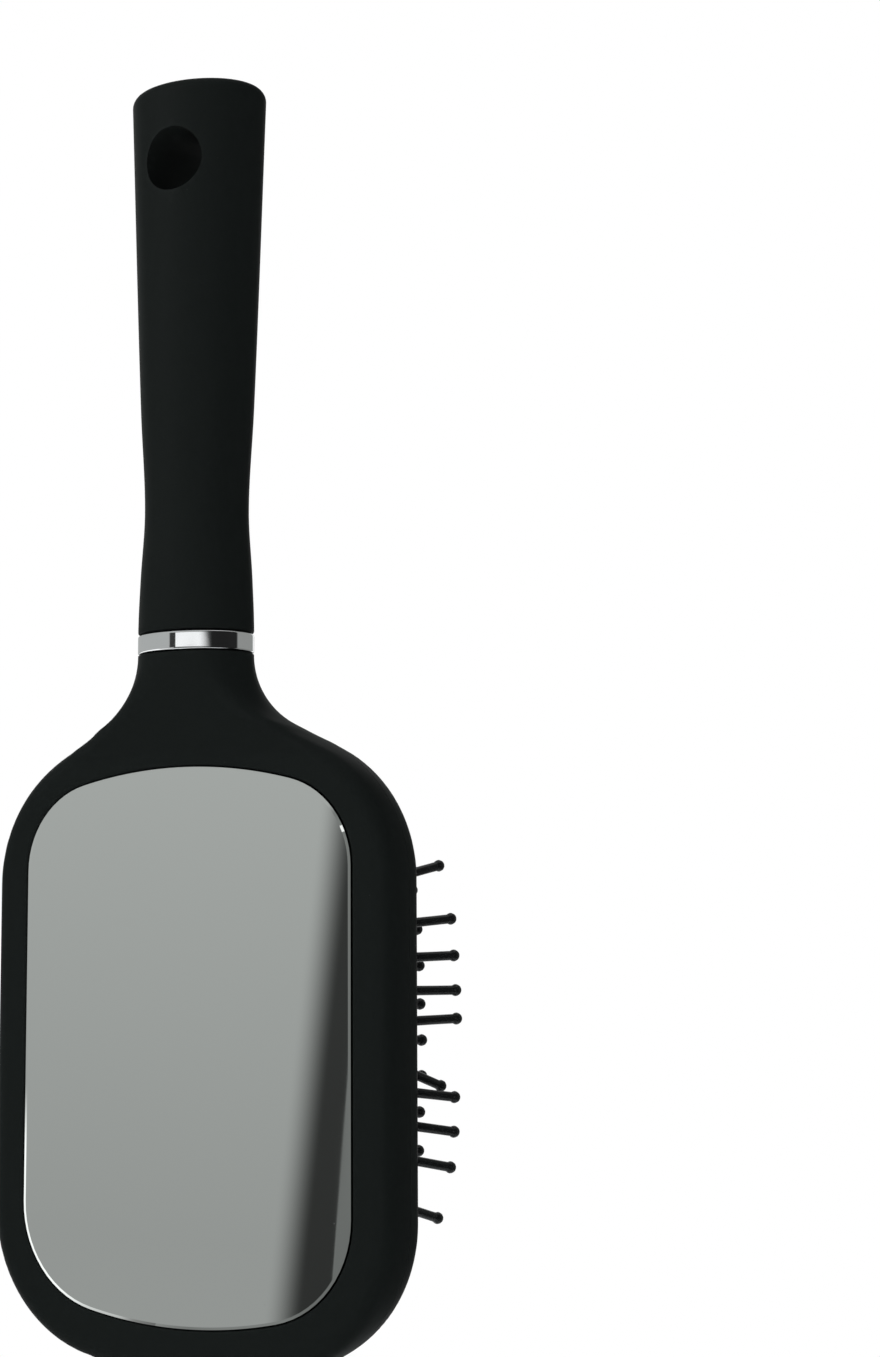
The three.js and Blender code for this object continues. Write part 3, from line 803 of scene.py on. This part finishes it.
def noise(tree, place, scale, detail=2.0, roughness=0.5):
    return add_node(tree, "ShaderNodeTexNoise", {"Vector": place, "Scale": scale, "Detail": detail,
                                                 "Roughness": roughness}).outputs["Fac"]


def span(tree, value, low, high, to_low=0.0, to_high=1.0, **settings):
    values = {"Value": value, "From Min": low, "From Max": high, "To Min": to_low, "To Max": to_high}
    return add_node(tree, "ShaderNodeMapRange", values, **settings).outputs[0]


def soft_step(tree, value, low, high):
    return span(tree, value, low, high, interpolation_type="SMOOTHSTEP")


def bumped(tree, height, metres):
    values = {"Strength": 1.0, "Distance": metres, "Height": height}
    return add_node(tree, "ShaderNodeBump", values).outputs["Normal"]


print("node helpers ready")

# %% [markdown]
# The soft-touch coat is sprayed over a moulding that was spark-eroded, so its grain is a very fine,
# even pebble. Noise at two sizes gives that: one near a third of a millimetre and a slow one under it.

# %% A group for moulded grain
grain, given, result = new_group(
    "Moulded grain",
    [("Grain per mm", 2.6), ("Height mm", 0.01), ("Waviness", 0.25)],
    ["Normal", "Pebble"],
)
place = place_mm(grain)
pebble = noise(grain, place, given["Grain per mm"], 3.0, 0.6)
slow_wave = noise(grain, place, 0.09, 1.0)
relief = sums(grain, "MULTIPLY_ADD", slow_wave, given["Waviness"], pebble)
normal = bumped(grain, relief, times(grain, given["Height mm"], MM))
feed(grain, result, {"Normal": normal, "Pebble": pebble})
print("group:", grain.name, [s.name for s in grain.interface.items_tree])

# %% [markdown]
# Edges are rubbed a little, which Geometry's Pointiness finds; the same edge mask also lightens the
# rounded crests as a painted highlight. The broad faces carry faint smears and a few motes of dust. All
# are masks from 0 to 1, and each material decides what to do with them.

# %% A group for handling marks and a painted edge highlight
handling_and_edge_light, given, result = new_group(
    "Handling marks and edge highlight",
    [("Smear per mm", 0.035), ("Dust per mm", 0.55), ("Dust amount", 0.5)],
    ["Rubbed and highlit edge", "Smear", "Dust"],
)
place = place_mm(handling_and_edge_light)
ridge = add_node(handling_and_edge_light, "ShaderNodeNewGeometry").outputs["Pointiness"]
# Rounded edges: partly rubbed wear, partly a painted highlight along the crests.
rubbed_and_highlit = times(handling_and_edge_light, span(handling_and_edge_light, ridge, 0.51, 0.57), noise(handling_and_edge_light, place, 0.5, 3.0))
smear = span(handling_and_edge_light, noise(handling_and_edge_light, place, given["Smear per mm"], 4.0, 0.62), 0.42, 0.72)
speck = add_node(handling_and_edge_light, "ShaderNodeTexVoronoi",
                 {"Vector": place, "Scale": given["Dust per mm"], "Randomness": 1.0})
near = span(handling_and_edge_light, speck.outputs["Distance"], 0.05, 0.0)
picked = add_node(handling_and_edge_light, "ShaderNodeSeparateColor", {0: speck.outputs["Color"]}).outputs[0]
few = sums(handling_and_edge_light, "LESS_THAN", picked, times(handling_and_edge_light, given["Dust amount"], 0.25))
mote = times(handling_and_edge_light, near, few)
feed(handling_and_edge_light, result, {"Rubbed and highlit edge": rubbed_and_highlit, "Smear": smear, "Dust": mote})
print("group:", handling_and_edge_light.name)

# %% [markdown]
# The rubber sheet comes from a mould with a diamond pattern of tiny domes, about four in three
# millimetres. Two crossed sine waves give it exactly.

# %% A group for the dimpled rubber
dimples, given, result = new_group(
    "Dimpled rubber",
    [("Pitch mm", 0.75), ("Height mm", 0.08)],
    ["Normal", "Dome"],
)
place = add_node(dimples, "ShaderNodeSeparateXYZ", {0: place_mm(dimples)}).outputs
per_mm = sums(dimples, "DIVIDE", math.pi, given["Pitch mm"])
waves = []
for operation in ("ADD", "SUBTRACT"):
    slant = sums(dimples, operation, place["X"], place["Z"])
    waves.append(sums(dimples, "SINE", times(dimples, slant, per_mm)))
product = times(dimples, waves[0], waves[1])
dome = times(dimples, product, product)
normal = bumped(dimples, dome, times(dimples, given["Height mm"], MM))
feed(dimples, result, {"Normal": normal, "Dome": dome})
print("group:", dimples.name)

# %% [markdown]
# ## The soft-touch coat and the grip
# Soft-touch paint is a rubbery lacquer: nearly black, with a wide dull sheen and almost no mirror-like
# reflection. Smears are slightly glossier, dust is slightly lighter, and rounded edges are lighter,
# partly as rubbed wear and partly as a painted highlight.

# %% Build the dark finishes
def finish(name, values):
    """A material with a Principled shader whose plain settings are given."""
    material = bpy.data.materials.new(name)
    material.use_nodes = True
    shader = material.node_tree.nodes["Principled BSDF"]
    feed(material.node_tree, shader, values)
    return material, material.node_tree, shader


def use_group(tree, group, values=()):
    """Puts a node group in a tree, with its plain settings, and gives its outputs."""
    return add_node(tree, "ShaderNodeGroup", values, node_tree=group).outputs


def mixed(tree, amount, first, second):
    node = add_node(tree, "ShaderNodeMix", {0: amount, 6: first, 7: second}, data_type="RGBA")
    return node.outputs[2]


PALE_DUST = (0.09, 0.09, 0.085, 1)


def dress_surface(tree, shader, tone, roughness, normal):
    feed(tree, shader, {"Base Color": tone, "Roughness": roughness, "Normal": normal})


def dark_finish(name, colour, lighter, specular, roughness, smeared, grain_mm, grain_rate):
    material, tree, shader = finish(name, {"Specular IOR Level": specular})
    surface = use_group(tree, grain, {"Grain per mm": grain_rate, "Height mm": grain_mm})
    marks_and_edge_light = use_group(tree, handling_and_edge_light)
    tone = mixed(tree, times(tree, surface["Pebble"], 0.35), colour, lighter)
    # Rounded edges painted lighter: partly rubbed wear, partly a painted highlight.
    tone = mixed(tree, times(tree, marks_and_edge_light["Rubbed and highlit edge"], 0.5), tone, lighter)
    tone = mixed(tree, times(tree, marks_and_edge_light["Dust"], 0.5), tone, PALE_DUST)
    gloss = span(tree, marks_and_edge_light["Smear"], 0, 1, roughness, smeared)
    dress_surface(tree, shader, tone, gloss, surface["Normal"])
    return material


# Colour, lighter colour for grain, wear and painted edge highlight; then specular, roughness, roughness
# of a smear, grain in mm, grains per mm
COAT = (0.0067, 0.0083, 0.0078, 1), (0.0138, 0.0154, 0.0146, 1)
CORE = (0.022, 0.024, 0.025, 1), (0.04, 0.042, 0.043, 1)
soft_touch = dark_finish("Soft-touch coat", *COAT, 0.012, 0.46, 0.41, 0.006, 3.0)
grip_rubber = dark_finish("Grip rubber", *COAT, 0.012, 0.5, 0.45, 0.008, 2.4)
core_plastic = dark_finish("Core plastic", *CORE, 0.5, 0.45, 0.35, 0.012, 1.2)
print("dark finishes:", soft_touch.name, grip_rubber.name, core_plastic.name)

# %% [markdown]
# The pins are bare nylon, smoother and glossier than the coat, so each ball shows a point of light. The
# sheet they stand in is dull, its dome tops are painted lighter as a painted highlight, and its domes
# carry a little dust between them.

# %% Build the pin, sheet and rim finishes
NYLON = (0.007, 0.0075, 0.0075, 1), (0.013, 0.014, 0.014, 1)
RUBBER = (0.006, 0.0065, 0.0065, 1), (0.014, 0.015, 0.015, 1)
DOME_TOP_HIGHLIGHT, SHEET_DUST = (0.02, 0.021, 0.0208, 1), (0.12, 0.12, 0.11, 1)
pin_nylon = dark_finish("Pin nylon", *NYLON, 0.22, 0.24, 0.18, 0.002, 1.5)
rim_rubber = dark_finish("Rim rubber", *RUBBER, 0.2, 0.6, 0.54, 0.008, 2.0)

sheet_rubber, tree, shader = finish("Sheet rubber", {"Specular IOR Level": 0.25})
pattern = use_group(tree, dimples)
marks_and_edge_light = use_group(tree, handling_and_edge_light, {"Smear per mm": 0.05})
# Dome tops painted lighter: a painted highlight on the dimples.
tone = mixed(tree, pattern["Dome"], RUBBER[0], DOME_TOP_HIGHLIGHT)
tone = mixed(tree, times(tree, marks_and_edge_light["Dust"], 0.6), tone, SHEET_DUST)
dress_surface(tree, shader, tone, span(tree, marks_and_edge_light["Smear"], 0, 1, 0.62, 0.52), pattern["Normal"])
print("rubber finishes:", sheet_rubber.name, rim_rubber.name)

# %% [markdown]
# ## Bright finishes
# Chrome and silvered glass are both metals to a renderer: their colour is what they reflect. The ring
# is plated plastic, so it has a faint waviness. The glass is almost perfect, apart from a breath of
# haze, and motes of dust that scatter light instead of mirroring it.

# %% Build the chrome, mirror, tape and steel
SCATTERING_DUST = (0.5, 0.5, 0.48, 1)


def bright_finish(name, colour, roughness, smeared, wave_mm, wave_rate, dust):
    material, tree, shader = finish(name, {"Metallic": 1.0})
    surface = use_group(tree, grain, {"Grain per mm": wave_rate, "Height mm": wave_mm})
    marks_and_edge_light = use_group(tree, handling_and_edge_light, {"Dust amount": dust})
    tone = mixed(tree, times(tree, marks_and_edge_light["Dust"], 0.5), colour, SCATTERING_DUST)
    rough = span(tree, marks_and_edge_light["Smear"], 0, 1, roughness, smeared)
    rough = sums(tree, "MULTIPLY_ADD", marks_and_edge_light["Dust"], 0.4, rough)
    dress_surface(tree, shader, tone, rough, surface["Normal"])
    return material


# Colour, roughness, roughness of a smear, waves in mm, waves per mm, dust
chrome = bright_finish("Ring chrome", (0.88, 0.9, 0.91, 1), 0.05, 0.08, 0.0016, 0.45, 0.1)
silvered = bright_finish("Silvered glass", (0.86, 0.89, 0.87, 1), 0.012, 0.024, 0.0, 0.2, 0.25)
steel = bright_finish("Pin steel", (0.55, 0.55, 0.56, 1), 0.28, 0.38, 0.002, 3.0, 0.2)

tape, tree, shader = finish("Foam tape", {"Specular IOR Level": 0.3})
cells = add_node(tree, "ShaderNodeTexVoronoi", {"Vector": place_mm(tree), "Scale": 2.2}).outputs
tone = mixed(tree, cells["Distance"], (0.62, 0.6, 0.55, 1), (0.42, 0.41, 0.38, 1))
dress_surface(tree, shader, tone, 0.85, bumped(tree, cells["Distance"], 0.05 * MM))
print("bright finishes:", chrome.name, silvered.name, steel.name, "and", tape.name)

# %% [markdown]
# ## Dressing the brush
# Each new piece gets its finish and is hung on the body it moves with, and the solids it stands for
# are hidden. The core, the cross pin and the tape are never seen, so their plain solids stay and only
# get their finish. The sheet gives way when the pins are pressed in, but here it is simply hung on the
# brush's body.

# %% Attach the pieces
rows = [f"pin_row_{column + 1:02d}" for column in range(COLUMNS)]
body_pieces = [
    (shell, ["head_back_shell"], "soft_touch_shell", soft_touch),
    (front, ["head_front_frame"], "soft_touch_frame", soft_touch),
    (grip, ["grip_sleeve"], "grip_rubber", grip_rubber),
    (ring, ["collar_ring"], "chrome_ring", chrome),
    (glass, ["mirror_glass"], "mirror", silvered),
    (rim, ["cushion_rim"], "pad_rubber", rim_rubber),
    (sheet, rows, "pad_and_pins", sheet_rubber),
]


def dress(piece, node, body, material):
    """Gives a piece its finish, hangs it on its body, and hides the solids it stands for."""
    piece.data.materials.clear()
    piece.data.materials.append(material)
    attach(piece, body)
    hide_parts(*node)


for piece, node, slot, material in body_pieces:
    dress(piece, node, "brush_body", material)
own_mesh(sheet)
for piece, row in zip(columns, rows):
    dress(piece, [row], "pin_field", pin_nylon)

for name, material in {"handle_core": core_plastic, "cross_pin": steel, "mirror_tape": tape}.items():
    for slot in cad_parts[name].material_slots:
        slot.material = material

# %% [markdown]
# ## The camera
# A picture of something this long is taken from about half a metre with a short telephoto lens. The
# camera stands a little below the brush's middle, on the mirror side, and looks slightly up.

# %% Place the camera
CAMERA_PLACE = Vector((-0.2303, 0.3680, -0.1479))
CAMERA_AIM = Vector((0.4324, -0.8953, 0.1075))
CAMERA_ROLL = math.radians(-0.32)
CAMERA_LENS = 59.4


def facing(direction):
    """The turn that points a camera or a lamp along a direction."""
    return direction.to_track_quat("-Z", "Y").to_matrix().to_4x4()


camera = add_object("camera", bpy.data.cameras.new("camera"))
camera.data.lens = CAMERA_LENS
camera.data.clip_start = 0.01
roll = Matrix.Rotation(CAMERA_ROLL, 4, "Z")
camera.matrix_world = Matrix.Translation(CAMERA_PLACE) @ facing(CAMERA_AIM) @ roll
bpy.context.scene.camera = camera
print("camera is", round(CAMERA_PLACE.length, 3), "m from the hanging hole")

# %% [markdown]
# ## Room and light
# The brush hangs in a white studio, so the camera sees plain white behind it. What lights the brush
# from the world is weaker and a little bluer, as daylight from a window is.

# %% Set the world
def seen_directly(tree):
    """1 for what the camera sees, straight or by way of metal and glass."""
    rays = add_node(tree, "ShaderNodeLightPath").outputs
    shiny = sums(tree, "MAXIMUM", rays["Is Glossy Ray"], rays["Is Transmission Ray"])
    return sums(tree, "MAXIMUM", rays["Is Camera Ray"], shiny)


def blend(tree, amount, first, second):
    return add_node(tree, "ShaderNodeMixShader", {0: amount, 1: first, 2: second}).outputs[0]


def light(tree, kind, colour, strength):
    return add_node(tree, kind, {"Color": colour, "Strength": strength}).outputs[0]


WHITE = (1, 1, 1, 1)
world = bpy.data.worlds.new("studio")
bpy.context.scene.world = world
world.use_nodes = True
tree = world.node_tree
tree.nodes.clear()
white = light(tree, "ShaderNodeBackground", WHITE, 1.0)
soft = light(tree, "ShaderNodeBackground", (0.93, 0.97, 1, 1), 0.55)
add_node(tree, "ShaderNodeOutputWorld", {"Surface": blend(tree, seen_directly(tree), soft, white)})
bpy.context.scene.view_settings.view_transform = "Standard"
print("world:", world.name)

# %% [markdown]
# The floor is pale and takes the brush's shadow. Further out it fades into the white that the camera
# sees behind, so that no horizon cuts the picture.

# %% Build the floor
FLOOR_HEIGHT = -0.42
FLOOR_HALF = 2.0
FLOOR_POINTS = 9
FADE = (0.18, 0.75)


def stage_sheet(name, points, count):
    """A sheet of stage scenery over rows of points, with so many points in a row."""
    faces = [
        (start + i, start + i + 1, start + count + i + 1, start + count + i)
        for start in range(0, len(points) - count, count) for i in range(count - 1)
    ]
    mesh = bpy.data.meshes.new(name)
    mesh.from_pydata(points, [], faces)
    mesh.polygons.foreach_set("use_smooth", [True] * len(faces))
    item = add_object(name, mesh)
    return item


def distance_from_upright(tree, place):
    """How far a point lies from the upright line through the hanging hole."""
    flat = add_node(tree, "ShaderNodeVectorMath", {0: place, 1: (1, 1, 0)}, operation="MULTIPLY").outputs[0]
    return add_node(tree, "ShaderNodeVectorMath", {0: flat}, operation="LENGTH").outputs["Value"]


steps = np.linspace(-FLOOR_HALF, FLOOR_HALF, FLOOR_POINTS)
floor = stage_sheet("floor", [(x, y, FLOOR_HEIGHT) for y in steps for x in steps], FLOOR_POINTS)

floor_look = {"Base Color": (0.86, 0.865, 0.87, 1), "Roughness": 0.7, "Specular IOR Level": 0.2}
floor_paint, tree, shader = finish("Floor paint", floor_look)
where = add_node(tree, "ShaderNodeTexCoord").outputs["Object"]
fade = soft_step(tree, distance_from_upright(tree, where), *FADE)
glow = light(tree, "ShaderNodeEmission", WHITE, 1.0)
painted = blend(tree, times(tree, fade, seen_directly(tree)), shader.outputs[0], glow)
feed(tree, tree.nodes["Material Output"], {"Surface": painted})
floor.data.materials.append(floor_paint)
print("floor is", round(HEAD_END * MM - FLOOR_HEIGHT, 2), "m under the head")

# %% [markdown]
# The far end of the room, behind the camera, is dim: the mirror looks that way and so looks grey. It is
# a wide curved wall that runs round the brush like a screen with one gap, on the pins' side. It is flat
# where the mirror sees it, and its foot sweeps forward over the floor, so that the mirror shows no hard
# line where wall and floor meet.

# %% Shape the dim wall
WALL_AWAY, WALL_ROUND = 0.45, 0.8
WALL_TOP = 1.2
WALL_BEARINGS = np.radians(np.linspace(-164, 180, 87))
SWEEP = 0.09
SWEEP_HEIGHT, SWEEP_END = FLOOR_HEIGHT + 0.003, 0.3

plan = []
for bearing in WALL_BEARINGS:
    away = WALL_ROUND
    if math.cos(bearing) * WALL_ROUND > WALL_AWAY:
        away = WALL_AWAY / math.cos(bearing)
    plan.append((-away * math.sin(bearing), away * math.cos(bearing)))
levels = [(1.0, WALL_TOP)]
levels += [(1 - forward / WALL_AWAY, SWEEP_HEIGHT + up) for up, forward in quarter_round(SWEEP, 7)]
levels.append((SWEEP_END, SWEEP_HEIGHT))
wall_points = [(x * share, y * share, z) for share, z in levels for x, y in plan]
wall = stage_sheet("dim_wall", wall_points, len(plan))
print("wall points:", len(wall_points), "from", WALL_AWAY, "to", WALL_ROUND, "m away")

# %% [markdown]
# Going round the wall from one side of the gap to the other, it is grey, has one slanting dark flag,
# then a bright window and a black end, and is grey again: the ring shows all of these as stripes. The
# flag's left edge is soft, and its right edge is sharp with a paler strip beside it low down. A low
# window at one side and the bright floor near the brush give the mirror's bevel its thin white line.
# Only reflections see the wall; for the camera and for the lamps it isn't there.

# %% Paint the dim wall
DIMNESS = (-0.28, -0.07, 0.34, 0.43)
FLAG_LEFT, LEFT_SLANT = (0.204, 0.186), 0.125
FLAG_RIGHT, RIGHT_SLANT = (0.1851, 0.1841), 0.088
FLAG_HEAD, HEAD_WIDER = (-0.078, -0.06), 0.09
WINDOW_FOOT, WINDOW_HEAD = (-0.045, -0.043), (-0.027, -0.03)
UPPER_WALL = (0.0, 0.03)
BLACK_END, FAR_SIDE = (13, 41), (98, 104)
LOW_WINDOW_SIDE, LOW_WINDOW_HEAD = (0.54, 0.64), (-0.23, -0.27)
WALL_FOOT, FOOT_ASIDE, FOOT_NEAR = (-0.34, -0.4), (0.17, 0.42), (0.36, 0.1)
WALL_WHITE = (0.98, 1.0, 0.985, 1)
STRIP_GREY, WINDOW_LIGHT = (0.46, 0.475, 0.465, 1), (2.4, 2.4, 2.4, 1)

wall_paint, tree, shader = finish("Dim wall", {})
tree.nodes.remove(shader)
where = add_node(tree, "ShaderNodeTexCoord").outputs["Object"]
part = add_node(tree, "ShaderNodeSeparateXYZ", {0: where}).outputs
across, height = part["X"], part["Z"]


def edge(value, limits):
    return soft_step(tree, value, *limits)


left_side = sums(tree, "MULTIPLY_ADD", height, LEFT_SLANT, across)
left_side = sums(tree, "MULTIPLY_ADD", edge(height, FLAG_HEAD), -HEAD_WIDER, left_side)
past_flag = edge(sums(tree, "MULTIPLY_ADD", height, RIGHT_SLANT, across), FLAG_RIGHT)
flag = times(tree, edge(left_side, FLAG_LEFT), sums(tree, "SUBTRACT", 1.0, past_flag))
window = times(tree, edge(height, WINDOW_FOOT), edge(height, WINDOW_HEAD))
bearing = sums(tree, "DEGREES", sums(tree, "ARCTAN2", times(tree, across, -1.0), part["Y"]))
low_window = times(tree, edge(across, LOW_WINDOW_SIDE), edge(height, LOW_WINDOW_HEAD))
foot_aside = times(tree, edge(height, WALL_FOOT), edge(across, FOOT_ASIDE))
foot_near = times(tree, edge(height, WALL_FOOT), edge(distance_from_upright(tree, where), FOOT_NEAR))
bright = sums(tree, "MAXIMUM", low_window, sums(tree, "MAXIMUM", foot_aside, foot_near))

layers = [
    (flag, (0.09, 0.092, 0.09, 1)),
    (past_flag, mixed(tree, window, STRIP_GREY, WINDOW_LIGHT)),
    (edge(height, UPPER_WALL), (0.95, 0.97, 0.955, 1)),
    (edge(bearing, BLACK_END), (0.035, 0.035, 0.035, 1)),
    (edge(bearing, FAR_SIDE), (0.66, 0.67, 0.65, 1)),
    (bright, (3.4, 3.4, 3.4, 1)),
]
shade = WALL_WHITE
for mask, colour in layers:
    shade = mixed(tree, mask, shade, colour)
glow = light(tree, "ShaderNodeEmission", shade, span(tree, height, *DIMNESS))
clear = add_node(tree, "ShaderNodeBsdfTransparent").outputs[0]
mirrored = add_node(tree, "ShaderNodeLightPath").outputs["Is Glossy Ray"]
feed(tree, tree.nodes["Material Output"], {"Surface": blend(tree, mirrored, clear, glow)})
wall.data.materials.append(wall_paint)
print("layers on the wall:", len(layers))

# %% [markdown]
# Four soft lamps do the lighting: a key from the upper left of the picture, one nearly as strong for
# the pins' side, and a faint one from the right. A small one beside the camera draws a faint line along
# the rounded edges, which would else melt together.

# %% Add the lamps
HEAD_AIM = (0, 0, -0.1)


def lamp(name, place, aim, size, power):
    data = bpy.data.lights.new(name, "AREA")
    data.shape = "RECTANGLE"
    data.size, data.size_y = size
    data.energy = power
    turn = facing(Vector(aim) - Vector(place))
    add_object(name, data).matrix_world = Matrix.Translation(place) @ turn


lamp("key", (0.75, 0.75, 0.55), HEAD_AIM, (0.6, 0.6), 9.0)
lamp("fill", (-0.95, -0.1, 0.3), HEAD_AIM, (0.7, 0.9), 0.5)
lamp("front_key", (0.85, -0.75, 0.4), HEAD_AIM, (0.7, 0.6), 8.0)
lamp("catch", (-0.44, 1.0, -0.12), (0, 0, -0.12), (0.28, 0.28), 2.0)
